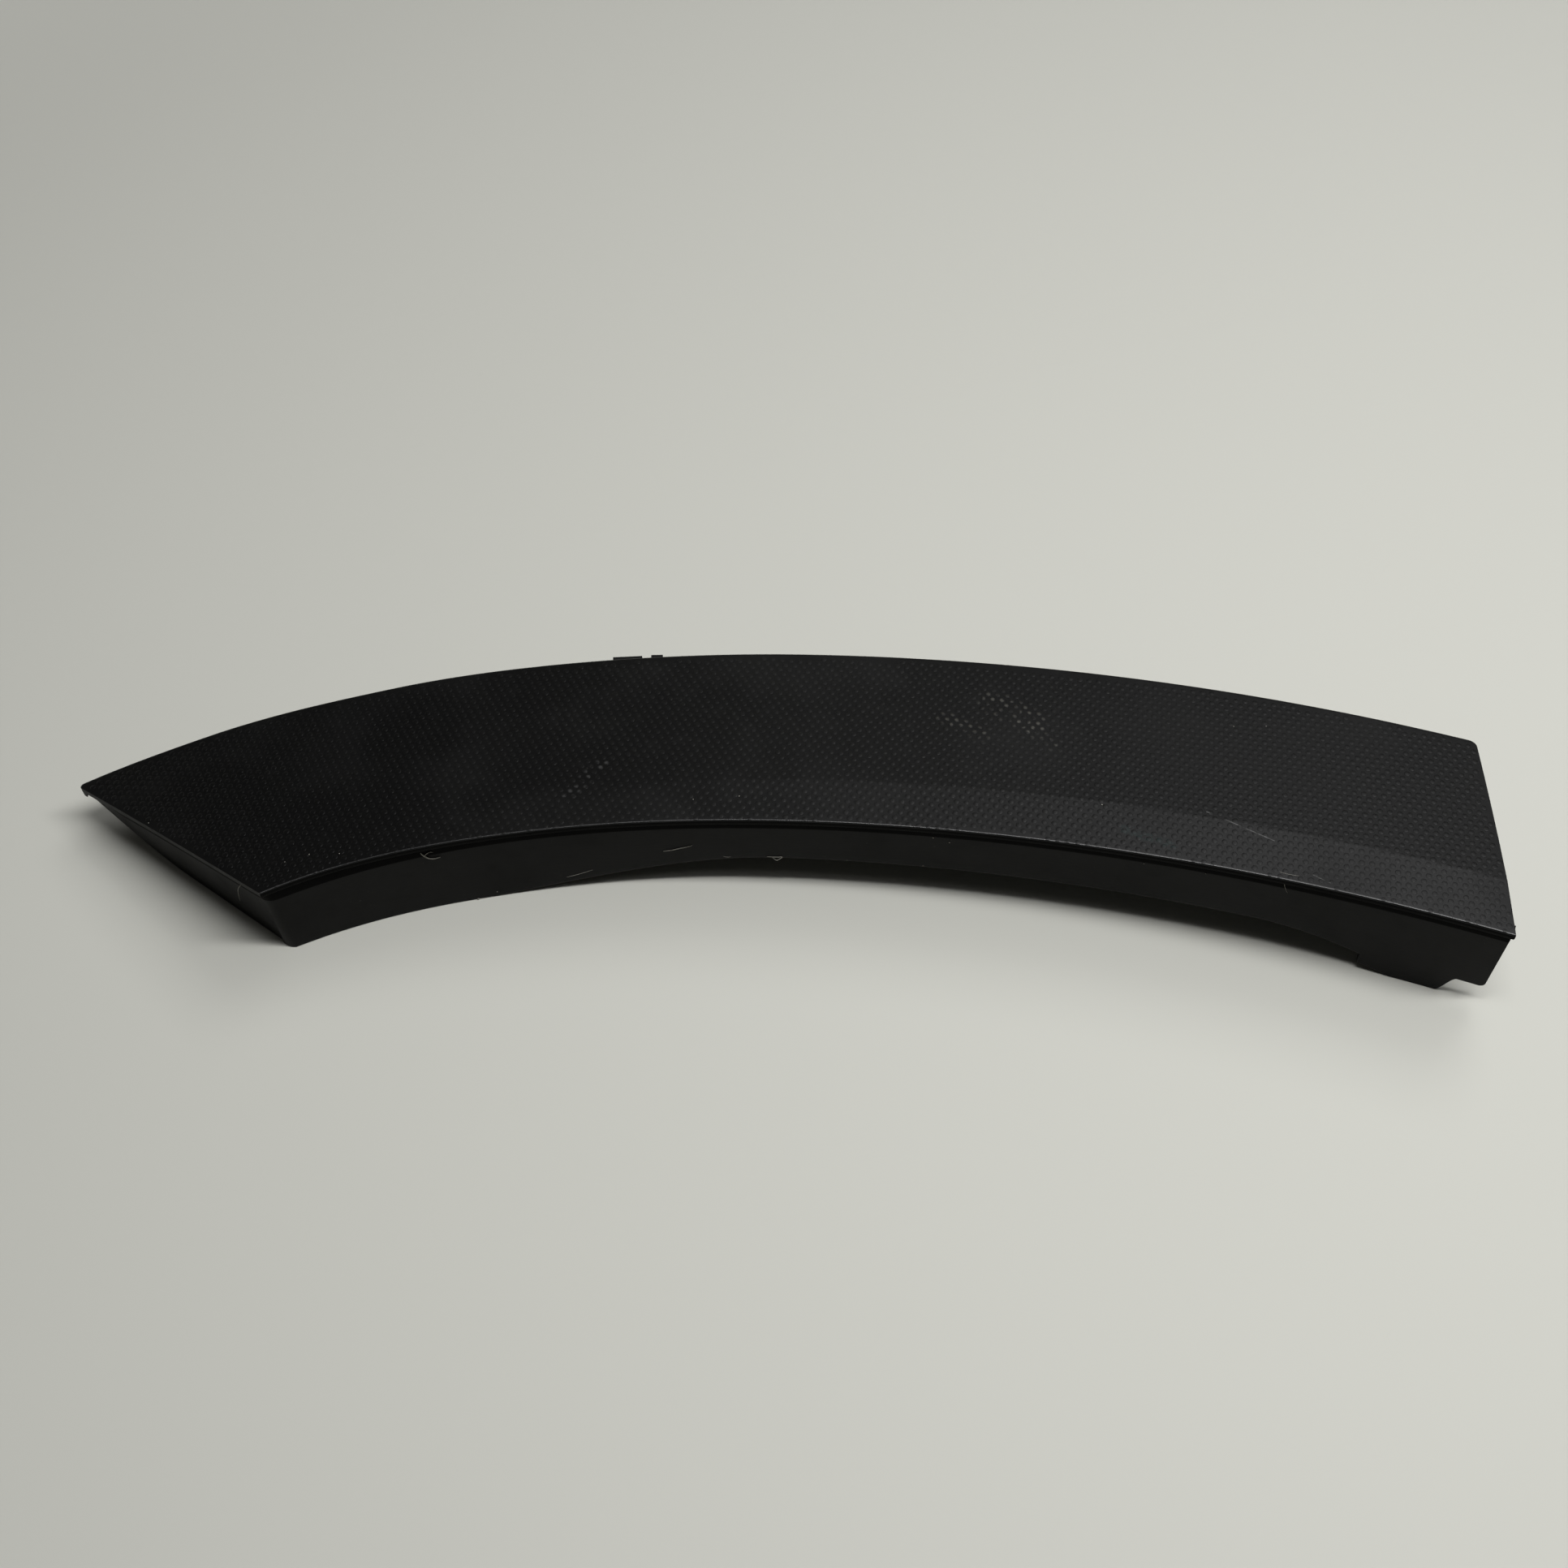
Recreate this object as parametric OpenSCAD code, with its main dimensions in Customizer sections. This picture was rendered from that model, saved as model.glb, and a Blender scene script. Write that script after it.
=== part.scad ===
// Wheel arch trim, moulded in one piece: an outer face that follows the wheel opening, a lip and a
// return flange along the arch edge, an end wall across the slanted front end, and ribs, clip towers
// and lugs on the hidden side. It lies with its outer face up. X runs from the front tip to the rear
// end, Y from the wheel opening to the body side, and the origin is under the middle of its box.

/* [Arch line] */
// Length of the arch edge, from the front corner to the rear end
arch_len = 397; // [330:1:480]
// Radius of the arch edge at the front corner
front_r = 184; // [150:1:300]
// Radius of the arch edge at the rear end
rear_r = 803; // [500:1:1400]
// How quickly the front radius eases into the rear radius
ease_power = 4.5; // [3:0.5:6]
// Direction of the arch edge at the front corner, in degrees from the X axis
front_heading = 25.9; // [15:0.1:35]
// Height of the arch edge at the front corner
front_z = 38.3; // [32:0.1:46]
// Height of the arch edge at the rear end
rear_z = 45.7; // [38:0.1:54]

/* [Face] */
// Width of the face at its narrowest
face_w = 71.1; // [60:0.1:90]
// Extra width of the face at the front tip
front_flare = 7.5; // [0:0.1:12]
// Place along the arch edge where the front flare begins
front_flare_from = 50; // [30:1:80]
// Extra width of the face at the rear end
rear_flare = 2.5; // [0:0.1:10]
// Place along the arch edge where the rear flare begins
rear_flare_from = 118; // [60:1:160]
// Slope of the face down to the body side, in degrees
face_slope = 8; // [4:0.1:11]
// Extra droop of the front tip
tip_droop = 5; // [0:0.1:8]
// Place along the arch edge where the droop begins
droop_from = 70; // [40:1:110]
// Angle of the front cut to the arch edge's square, in degrees
front_cut = 28.5; // [15:0.1:38]
// Angle of the rear cut to the arch edge's square, in degrees
rear_cut = 15.3; // [5:0.1:22]
// Wall of the face
face_wall = 2.8; // [2:0.1:4]
// Rounding of the long edges of the face
edge_r = 0.8; // [0.4:0.1:1.2]
// Rounding of the front tip, seen from above
tip_r = 2.5; // [1:0.1:5]
// Rounding of the rear corner, seen from above
rear_corner_r = 3; // [1:0.1:6]

/* [Crease] */
// Width of the band below the crease at the front corner
band_front = 12.9; // [9:0.1:16]
// Width of the band below the crease at the rear end
band_rear = 18.4; // [14:0.1:24]
// Angle between the band and the face above it, in degrees
crease_angle = 4.7; // [2:0.1:7]
// Place along the arch edge where the crease begins to show
crease_from = 85; // [40:1:120]
// Length over which the crease grows to its full angle
crease_fade = 85; // [40:1:120]

/* [Return flange] */
// Wall of the return flange and the end wall
flange_wall = 2.6; // [1.8:0.1:3.6]
// Height of the lip on the arch edge
lip_h = 2.6; // [1.8:0.1:3.4]
// Distance that the flange stands back under the lip
lip_back = 1.2; // [0.6:0.1:2]
// Outward draft of the flange, in degrees
flange_draft = 2; // [0.5:0.1:3]
// Inward lean of the end wall, in degrees
end_wall_lean = 2; // [0:0.1:4]
// Rounding of the upright corner between the flange and the end wall
corner_r = 5; // [3:0.1:10]
// Length of the end wall that reaches full depth
end_wall_flat = 45; // [25:1:60]

/* [Relief and foot] */
// Height of the relief under the middle of the flange
relief_h = 15.5; // [8:0.1:22]
// Place along the arch edge where the relief begins
relief_from = 62; // [55:1:90]
// Length of the relief's slow front rise
relief_rise = 105; // [60:1:120]
// Length of the relief's rear fall
relief_fall = 38; // [20:1:50]
// Depth of the relief's rear fall
relief_fall_h = 7; // [3:0.1:10]
// Distance from the rear end to the upright step that ends the relief
step_from_end = 39.5; // [30:0.5:50]
// Height of the flange's edge just behind that step
step_z = 3.5; // [1:0.1:5]
// Length of the slope from the step down to the foot
step_run = 11; // [5:0.5:14]
// Distance from the rear end to the foot's rear side
foot_from_end = 13.5; // [11:0.5:18]
// Length of the rounded rise behind the foot
foot_rise = 5; // [4:0.5:9]
// Height of the flange's edge behind the foot
notch_h = 9.2; // [5:0.1:15]
// Rounding of the flange's lower rear corner
flange_end_r = 2; // [0.5:0.1:4]

/* [Body side] */
// Depth of the rim along the far edge
rim_h = 5; // [4:0.1:7]
// Wall of the rim
rim_wall = 1.8; // [1.2:0.1:2.6]
// Distance from the front corner to the pair of lugs
lug_pair_from = 113; // [90:1:140]
// Width of the pair's wide lug
lug_w = 10; // [6:0.5:12]
// Width of the pair's narrow lug
narrow_lug_w = 4; // [3:0.1:8]
// Gap between the pair's lugs
lug_gap = 1.8; // [0.8:0.1:4]
// Reach of the lugs past the far edge
lug_reach = 1.8; // [1:0.1:4]
// Thickness of the lugs
lug_t = 1.6; // [1:0.1:2.4]

/* [Ribs] */
// Number of ribs across the hidden side
rib_count = 6; // [3:1:8]
// Thickness of a rib
rib_t = 1.6; // [1:0.1:2.4]
// Depth of a rib below the middle of the face
rib_h = 6; // [4:0.1:9]
// Depth of a rib where it meets the flange
gusset_h = 19; // [12:0.5:24]
// Reach of the deep part of a rib from the flange
gusset_reach = 22; // [12:0.5:30]

/* [Clip towers] */
// Number of clip towers
tower_count = 4; // [3:1:5]
// Length of a clip tower along the arch
tower_l = 24; // [20:0.5:30]
// Depth of a clip tower across the face
tower_d = 18; // [15:0.5:22]
// Distance from the far edge to the back of a clip tower
tower_inset = 7; // [5:0.5:12]
// Wall of a clip tower
tower_wall = 1.8; // [1.2:0.1:2.6]
// Thickness of a tower's seat plate
seat_t = 2.4; // [1.8:0.1:3.6]
// Bore of the clip hole in the seat plate
clip_bore = 7; // [5:0.1:9]
// Distance from the front corner to the middle of the first tower
tower_front = 22; // [16:1:40]
// Distance from the rear end to the middle of the last tower
tower_rear = 52; // [40:1:70]

/* [Hidden] */
front_tan = tan(front_cut);
rear_tan = tan(rear_cut);
front_curve = 1 / front_r;
rear_curve = 1 / rear_r;
deg = 180 / PI;
// Arc length over which each end's cut fades into square sections
cut_fade = 100;
// Spacing of the points that carry the arch line, and of the sections along it
line_step = 2;
section_step = 8;
fine_step = 1;
// Where the moulding's parts sit into each other
seat = 0.6;
// Sections that carry the rounding of a plan corner
arc_steps = 5;
// Run of the upright step along the flange
step_edge = 0.05;
corner_run = (lip_back + corner_r) / tan((90 + front_cut) / 2);
step_s = arch_len - step_from_end;
foot_s = arch_len - foot_from_end;
fall_s = step_s - relief_fall;

// A soft step from 0 to 1
function ease(t) = let (u = min(max(t, 0), 1)) u * u * (3 - 2 * u);

// Direction of the arch line at a distance along it, in degrees
function heading(s) =
    let (u = min(max(s / arch_len, 0), 1), n = ease_power + 1)
    front_heading - deg * arch_len * (rear_curve * u + (front_curve - rear_curve) * (1 - pow(1 - u, n)) / n);

function toward(a) = [cos(a), sin(a)];

// Points of the arch line, walked from the front corner
line_points = [
    for (i = 0, p = [0, 0]; i * line_step <= arch_len + 2 * line_step;
         p = p + line_step * toward(heading((i + 0.5) * line_step)), i = i + 1) p
];

// A point on the arch line; ahead of the front corner the line runs on straight
function on_line(s) =
    let (k = max(s, 0) / line_step, i = min(floor(k), len(line_points) - 2))
    line_points[i] + (k - i) * (line_points[i + 1] - line_points[i]) + min(s, 0) * toward(front_heading);

// A plan point at a distance along the arch line and a distance from it, towards the body side
function plan(s, w) = on_line(s) + w * toward(heading(s) + 90);

function edge_z(s) = front_z + (rear_z - front_z) * s / arch_len;
function band_w(s) = band_front + (band_rear - band_front) * s / arch_len;

// Width of the face
function far_w(s) =
    face_w + front_flare * ease((front_flare_from - s) / (front_flare_from + tip_run))
    + rear_flare * ease((s - rear_flare_from) / (step_s - rear_flare_from));
tip_run = (face_w + front_flare) * front_tan;

// Height of the outer face
function face_z(s, w) =
    let (
        b = band_w(s),
        a = face_slope - crease_angle * ease((s - crease_from) / crease_fade),
        droop = tip_droop * pow(max(0, (droop_from - s) / (droop_from + tip_run)), 2)
    )
    edge_z(s) - min(w, b) * tan(a) - max(0, w - b) * tan(face_slope) - droop * max(w, 0) / face_w;

// Stations lean over towards both ends, so that the first and last section are the end cuts
function lean(s) = front_tan * ease(1 - s / cut_fade) + rear_tan * ease(1 - (arch_len - s) / cut_fade);

function face_point(s, w, dz) = let (q = s - w * lean(s), p = plan(q, w)) [p[0], p[1], face_z(q, w) + dz];

// Height of the flange's lower edge
function low_z(s) =
    s < fall_s ? relief_h * ease((s - relief_from) / relief_rise)
    : s < step_s ? relief_h - relief_fall_h * pow((s - fall_s) / relief_fall, 2)
    : s < foot_s ? step_z * max(0, 1 - (s - step_s) / step_run)
    : notch_h * ease((s - foot_s) / foot_rise)
      + flange_end_r * (1 - sqrt(1 - pow(max(0, 1 - (arch_len - s) / flange_end_r), 2)));

// Faces of a skin over rings of m points, closed by a cap at each end
function skin_faces(n, m) = concat(
    [[for (j = [m - 1 : -1 : 0]) j]],
    [for (i = [0 : n - 2], j = [0 : m - 1]) [i * m + j, (i + 1) * m + (j + 1) % m, (i + 1) * m + j]],
    [for (i = [0 : n - 2], j = [0 : m - 1]) [i * m + j, i * m + (j + 1) % m, (i + 1) * m + (j + 1) % m]],
    [[for (j = [0 : m - 1]) (n - 1) * m + j]]
);

module skin(rings) {
    polyhedron(points = [for (r = rings, p = r) p], faces = skin_faces(len(rings), len(rings[0])));
}

// How far an arc of radius r in a corner of the angle a trims one side, at u from the corner on the other
function trimmed(u, r, a) =
    let (c = r / sin(a), d = min(u, r / tan(a / 2)) - c) c - d * cos(a) - sqrt(max(0, r * r - pow(d * sin(a), 2)));

// Width of the face along a leaning section, with both corners rounded off
function section_w(s) =
    far_w(s - face_w * lean(s)) - cos(front_cut) * trimmed(s, tip_r, tip_angle)
    - cos(rear_cut) * trimmed(arch_len - s, rear_corner_r, rear_angle);
tip_angle = 90 - front_cut;
rear_angle = 90 + rear_cut;
tip_round = tip_r / tan(tip_angle / 2);
rear_round = rear_corner_r / tan(rear_angle / 2);

// Outline of the face's section as distances from the arch edge and depths below the outer face
function face_section(s) =
    let (b = band_w(s), f = section_w(s), in = f - rim_wall)
    concat(
        [for (a = [0 : 30 : 90]) [edge_r * (1 - cos(a)), -edge_r * (1 - sin(a))]],
        [[b / 2, 0], [b, 0]],
        [for (k = [0.3, 0.6]) [b + (f - b) * k, 0]],
        [for (a = [90 : -45 : 0]) [f - edge_r * (1 - cos(a)), -edge_r * (1 - sin(a))]],
        [[f, -rim_h], [in, -rim_h], [in, -face_wall]],
        [for (k = [0.6, 0.3]) [b + (f - b) * k, -face_wall]],
        [[b, -face_wall], [lip_back + flange_wall, -face_wall]],
        [[edge_r / 2, -lip_h], [0, edge_r / 2 - lip_h]]
    );

// Places of the face's sections, closer together where they carry a rounding
face_run = arch_len - tip_round - rear_round;
face_count = ceil(face_run / section_step);
face_places = concat(
    [for (k = [0 : arc_steps - 1]) tip_round * pow(k / arc_steps, 2)],
    [for (i = [0 : face_count]) tip_round + face_run * i / face_count],
    [for (k = [arc_steps - 1 : -1 : 0]) arch_len - rear_round * pow(k / arc_steps, 2)]
);

// The outer face with its lip and its rim
module face() {
    skin([for (s = face_places) [for (q = face_section(s)) face_point(s, q[0], q[1])]]);
}

// One place along the upright walls: plan point, inward direction, face height, lower edge and draft
function wall_place(p, a, z, low, draft) = [p, toward(a), z, low, draft];

// Along the end wall, at a distance from the front corner
function end_place(t) =
    let (s = -t * sin(front_cut), w = t * cos(front_cut), a = front_heading + front_cut, top = face_z(s, w))
    wall_place(
        plan(s, w) + lip_back * toward(a), a, top,
        (top - face_wall) * pow(max(0, (t - end_wall_flat) / (end_wall_len - end_wall_flat)), 2),
        -end_wall_lean
    );
end_wall_len = (face_w + front_flare) / cos(front_cut);
// The end wall stops short of the tip, where the face alone is left
end_wall_stop = end_wall_len - 2 * tip_r;

// Along the return flange
function flange_place(s) =
    wall_place(plan(s, lip_back), heading(s) + 90, face_z(s, lip_back), low_z(s), flange_draft);

// Round the upright corner
function corner_place(k) =
    let (
        a = front_heading + front_cut + k * (90 - front_cut),
        c = end_place(corner_run)[0] + corner_r * toward(front_heading + front_cut)
    )
    wall_place(c - corner_r * toward(a), a, edge_z(0), 0, k * flange_draft - (1 - k) * end_wall_lean);

wall_places = concat(
    [for (k = [0 : 11]) end_place(end_wall_stop + (corner_run - end_wall_stop) * k / 12)],
    [for (k = [0 : 0.2 : 1]) corner_place(k)],
    [for (s = [corner_run + section_step : section_step : fall_s]) flange_place(s)],
    [for (s = [fall_s : relief_fall / 6 : step_s - step_edge]) flange_place(s)],
    [flange_place(step_s - step_edge), flange_place(step_s), flange_place(step_s + step_run)],
    [for (s = [foot_s : fine_step : foot_s + foot_rise]) flange_place(s)],
    [for (k = [1, 0.5, 0.2, 0]) flange_place(arch_len - k * flange_end_r)]
);

// The end wall, the rounded corner and the return flange in one run
module upright_walls() {
    skin([
        for (q = wall_places)
            let (
                top = q[2] - face_wall + seat,
                out = -tan(q[4]) * (q[2] - q[3]),
                a = q[0] + out * q[1],
                b = q[0] + flange_wall * q[1]
            )
            [
                [a[0], a[1], q[3]],
                [q[0][0], q[0][1], top],
                [b[0], b[1], top],
                [b[0] + out * q[1][0], b[1] + out * q[1][1], q[3]]
            ]
    ]);
}

// A plate square to the arch line at s, from points of distance across the face and height
module across_plate(s, thick, points) {
    translate(concat(on_line(s), 0))
        rotate([0, 0, heading(s)])
            rotate([90, 0, 90])
                linear_extrude(thick, center = true)
                    polygon(points);
}

// A rib with a deep gusset at the flange, seated in the underside of the face
module rib(s) {
    root = lip_back + flange_wall - seat;
    b = band_w(s);
    last = far_w(s) - rim_wall + seat;
    function under(w) = [w, face_z(s, w) - face_wall + seat];
    across_plate(s, rib_t, [
        under(root), under(b), under(last),
        [last, face_z(s, last) - rim_h],
        [root + gusset_reach, face_z(s, root + gusset_reach) - rib_h],
        [root, face_z(s, root) - gusset_h]
    ]);
}

// Middle of each clip tower along the arch line
function tower_s(i) = tower_front + (arch_len - tower_front - tower_rear) * i / (tower_count - 1);

// A clip tower: three walls, a side left open for the clip and a seat plate with a round hole
module tower(s) {
    back = far_w(s) - tower_inset;
    front = back - tower_d;
    roof = face_wall - seat;
    difference() {
        across_plate(s, tower_l, [
            [front, 0], [back, 0], [back, face_z(s, back) - roof], [front, face_z(s, front) - roof]
        ]);
        translate(concat(on_line(s), 0))
            rotate([0, 0, heading(s)])
                translate([-tower_l / 2 - tower_wall, front + tower_wall, seat_t])
                    cube([tower_l, tower_d - 2 * tower_wall, face_z(s, back) - roof - face_wall / 2 - seat_t]);
        translate(concat(plan(s, (front + back) / 2), -seat_t))
            cylinder(d = clip_bore, h = 3 * seat_t, $fn = 48);
    }
}

// A locating lug on the outside of the rim
module lug(from, width) {
    s = from + width / 2;
    f = far_w(s);
    top = face_z(s, f) - edge_r - lug_t / 2;
    across_plate(s, width, [
        [f - rim_wall / 2, top - lug_t], [f + lug_reach, top - lug_t],
        [f + lug_reach, top], [f - rim_wall / 2, top]
    ]);
}

module trim_in_line_frame() {
    rib_gap = (arch_len - tower_front - tower_rear) / rib_count;
    face();
    upright_walls();
    for (i = [0 : rib_count - 1]) rib(tower_front + rib_gap * (i + 0.5));
    for (i = [0 : tower_count - 1]) tower(tower_s(i));
    lug(lug_pair_from, lug_w);
    lug(lug_pair_from + lug_w + lug_gap, narrow_lug_w);
}

// Points that bound the plan, so that the origin lies under the middle of its box
pair_end = lug_pair_from + 2 * lug_w;
bounds = concat(
    [plan(0, 0), plan(arch_len, 0)],
    [for (s = face_places) let (w = section_w(s)) plan(s - w * lean(s), w)],
    [for (s = [lug_pair_from, pair_end]) plan(s, far_w(s) + lug_reach)]
);
function middle(k) = (min([for (p = bounds) p[k]]) + max([for (p = bounds) p[k]])) / 2;

module arch_trim() {
    color("#2a2b2c")
        translate([-middle(0), -middle(1), 0])
            trim_in_line_frame();
}

arch_trim();
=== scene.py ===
"""The look of a wheel arch trim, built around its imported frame.

The trim is one black moulding: a pimpled face that follows the wheel opening, a lip and a plain return
flange along the arch edge, a slanted end wall at the front, and ribs, clip towers and lugs underneath.
"""

import logging
from dataclasses import dataclass, field
from enum import Enum
from math import atan, ceil, cos, pi, radians, sin, sqrt, tan
from typing import Callable, Iterable, Sequence

import bmesh
import bpy
import numpy as np
from mathutils import Matrix, Vector

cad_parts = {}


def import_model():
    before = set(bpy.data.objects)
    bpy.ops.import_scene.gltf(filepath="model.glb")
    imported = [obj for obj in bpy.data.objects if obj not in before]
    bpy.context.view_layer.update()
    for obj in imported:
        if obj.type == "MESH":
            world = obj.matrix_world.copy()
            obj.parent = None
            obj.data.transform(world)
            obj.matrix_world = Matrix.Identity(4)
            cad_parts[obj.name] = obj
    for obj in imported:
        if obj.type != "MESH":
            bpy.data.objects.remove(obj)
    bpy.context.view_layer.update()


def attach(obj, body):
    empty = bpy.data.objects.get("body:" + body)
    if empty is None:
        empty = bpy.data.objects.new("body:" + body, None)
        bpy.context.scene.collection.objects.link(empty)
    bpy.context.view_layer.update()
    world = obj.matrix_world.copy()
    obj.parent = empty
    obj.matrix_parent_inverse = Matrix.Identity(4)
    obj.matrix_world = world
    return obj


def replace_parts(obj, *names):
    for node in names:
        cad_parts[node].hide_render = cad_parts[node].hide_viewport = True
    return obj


LOG = logging.getLogger("wheel_arch_trim")
NODE = "arch_trim"
BODY = "root"
MM = 0.001

RISE = "rise"  # attribute of a pip's point: its height over the face

Array = np.ndarray
Number = Array | float
Pair = tuple[float, float]
Colour = tuple[float, float, float]
Point = tuple[float, float, float]
Place = tuple[Array, float, float, float, float]
Material = bpy.types.Material
Piece = bpy.types.Object
Work = bmesh.types.BMesh


# Shader maths


class Wire:
    """A shader value that can be used in sums: each operator adds one Math node."""

    def __init__(self, sheet: "Sheet", socket: bpy.types.NodeSocket) -> None:
        """Keeps the sheet of nodes and the socket that carries the value."""
        self.sheet = sheet
        self.socket = socket

    def _math(self, operation: str, *values: "Wire | float") -> "Wire":
        """Adds a Math node.

        Args:
            operation: The node's operation.
            values: Its inputs, in order.

        Returns:
            The node's value.
        """
        return self.sheet.wire("ShaderNodeMath", {"operation": operation}, dict(enumerate(values)))

    def __add__(self, other: "Wire | float") -> "Wire":
        """Sum."""
        return self._math("ADD", self, other)

    __radd__ = __add__

    def __sub__(self, other: "Wire | float") -> "Wire":
        """Difference."""
        return self._math("SUBTRACT", self, other)

    def __rsub__(self, other: "Wire | float") -> "Wire":
        """Difference from a number."""
        return self._math("SUBTRACT", other, self)

    def __mul__(self, other: "Wire | float") -> "Wire":
        """Product."""
        return self._math("MULTIPLY", self, other)

    __rmul__ = __mul__

    def most(self, other: "Wire | float") -> "Wire":
        """The larger of two values."""
        return self._math("MAXIMUM", self, other)

    def least(self, other: "Wire | float") -> "Wire":
        """The smaller of two values."""
        return self._math("MINIMUM", self, other)

    def soft_step(self, low: float, high: float) -> "Wire":
        """A smooth step from 0 at low to 1 at high; high may be the smaller one."""
        inputs = {"Value": self, "From Min": low, "From Max": high}
        return self.sheet.wire("ShaderNodeMapRange", {"interpolation_type": "SMOOTHSTEP"}, inputs)


class Sheet:
    """The nodes of a material, of the world or of a Geometry Nodes tree."""

    def __init__(self, tree: bpy.types.NodeTree) -> None:
        """Keeps the node tree."""
        self.tree = tree

    def add(self, kind: str, settings: dict | None = None, inputs: dict | None = None) -> bpy.types.Node:
        """Adds a node of any type.

        Args:
            kind: The node's type.
            settings: Properties that are set first.
            inputs: Values or links of its sockets, by name or number.

        Returns:
            The new node.
        """
        node = self.tree.nodes.new(kind)
        for name, value in (settings or {}).items():
            setattr(node, name, value)
        for key, value in (inputs or {}).items():
            if isinstance(value, Wire):
                value = value.socket
            if isinstance(value, bpy.types.NodeSocket):
                self.tree.links.new(value, node.inputs[key])
            else:
                node.inputs[key].default_value = value
        return node

    def wire(self, kind: str, settings: dict | None, inputs: dict | None, output: str | int = 0) -> Wire:
        """Adds a node and gives one of its outputs as a value."""
        return Wire(self, self.add(kind, settings, inputs).outputs[output])

    def vector(self, operation: str, a: Wire, b: Wire | Point, output: str = "Vector") -> Wire:
        """Adds a Vector Math node."""
        return self.wire("ShaderNodeVectorMath", {"operation": operation}, {0: a, 1: b}, output)

    def place(self) -> Wire:
        """The place on the object, in its own frame."""
        return self.wire("ShaderNodeTexCoord", None, None, "Object")

    def noise(self, place: Wire, size: float, detail: float = 2.0, roughness: float = 0.5) -> Wire:
        """Noise from 0 to 1 whose lumps are about the given size in metres."""
        inputs = {"Vector": place, "Scale": 1 / size, "Detail": detail, "Roughness": roughness}
        return self.wire("ShaderNodeTexNoise", None, inputs)

    def patches(self, place: Wire, kind: "Patches") -> Wire:
        """A mask made from noise."""
        return self.noise(place, kind.size, kind.detail, kind.roughness).soft_step(kind.start, kind.full)

    def mix(self, low: Wire | Colour, high: Wire | Colour, share: Wire | float) -> Wire:
        """Mixes two colours."""
        inputs = {0: share, 6: low, 7: high}
        for key in (6, 7):
            if not isinstance(inputs[key], Wire):
                inputs[key] = (*inputs[key], 1.0)
        return self.wire("ShaderNodeMix", {"data_type": "RGBA"}, inputs, 2)

    def along(self, place: Wire, mark: "Mark") -> Wire:
        """1 on a mark's line, falling to 0 at its half width and just past its ends."""
        start, end = Vector(mark.start) * MM, Vector(mark.end) * MM
        length = (end - start).length
        ahead = tuple((end - start) / length)
        moved = self.vector("SUBTRACT", place, tuple(start))
        run = self.vector("DOT_PRODUCT", moved, ahead, "Value").most(0.0).least(length)
        foot = self.wire("ShaderNodeVectorMath", {"operation": "SCALE"}, {0: ahead, "Scale": run})
        off = self.vector("DISTANCE", moved, foot, "Value")
        return off.soft_step(mark.width / 2 * MM, mark.width / 5 * MM)

    def close(self, shader: bpy.types.Node, kind: str = "Material") -> None:
        """Joins a shader to the output of a material or a world."""
        self.add(f"ShaderNodeOutput{kind}", None, {"Surface": shader.outputs[0]})


# Finishes


def new_material(name: str) -> tuple[Material, Sheet]:
    """Makes a material with an empty sheet of nodes."""
    made = bpy.data.materials.new(name)
    made.use_nodes = True
    made.node_tree.nodes.clear()
    return made, Sheet(made.node_tree)


@dataclass(frozen=True)
class Patches:
    """A mask from noise: its lumps' size, its detail, and the noise at which it starts and is full."""

    size: float
    detail: float
    start: float
    full: float
    roughness: float = 0.5


HAZE = Patches(38 * MM, 3.0, 0.42, 0.72)
SMUDGE = Patches(7 * MM, 4.0, 0.5, 0.8, 0.6)
SPECK = Patches(0.55 * MM, 1.0, 0.745, 0.79)
DRIFT = Patches(16 * MM, 2.0, 0.5, 0.68)
TOP_PATCHES = Patches(21 * MM, 2.0, 0.3, 0.7)
BROKEN: Pair = (0.38, 0.62)
FACE_FILM = 0.9
# Haze colour of the dark, barely reflecting finish that is painted shade: it stands for the shade under the
# lip's overhang
PAINTED_SHADE_HAZE: Colour = (0.0045, 0.0045, 0.0046)

# Fades along the part: the X at which each starts and is full
FILM_FRONT: Pair = (-0.13, 0.0)
FILM_REAR: Pair = (0.13, 0.03)
CLOUD_FRONT: Pair = (-0.17, -0.03)
# Where pip tops are painted paler, partly wear and dust and partly painted highlight: none at the front
# end, less at the rear
TOP_SHEEN_FRONT: Pair = (-0.17, -0.02)
TOP_SHEEN_REAR: Pair = (0.04, 0.17)


@dataclass(frozen=True)
class Mark:
    """A rub, scratch or smear along a line between two points of the part's frame, in millimetres."""

    start: Point
    end: Point
    width: float
    colour: Colour
    strength: float
    lump: float = 1.5
    tops: bool = False


RUBBED: Colour = (0.16, 0.155, 0.135)
SCRATCHED: Colour = (0.11, 0.11, 0.107)
FACE_MARKS: tuple[Mark, ...] = (
    Mark((57, 27, 37), (69, 19, 38), 8.0, RUBBED, 0.3, 2.6, True),
    Mark((74, 34, 37), (86, 25, 37.5), 14.0, RUBBED, 0.32, 2.6, True),
    Mark((83, 25, 37.5), (92, 15, 39), 7.0, RUBBED, 0.3, 2.6, True),
    Mark((-66, -4, 38.6), (-55, 11.5, 37), 6.0, (0.12, 0.12, 0.12), 0.3, 2.6, True),
    Mark((138.6, -13.5, 42.6), (158.4, -25.0, 43.6), 0.45, SCRATCHED, 0.9, 2.4),
    Mark((168.7, -38.0, 44.4), (173.5, -41.0, 44.6), 0.4, SCRATCHED, 0.8, 1.2),
    Mark((112, -20, 43), (126, -26.5, 43.5), 4.5, (0.012, 0.028, 0.027), 0.3, 1.4),
)


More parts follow.
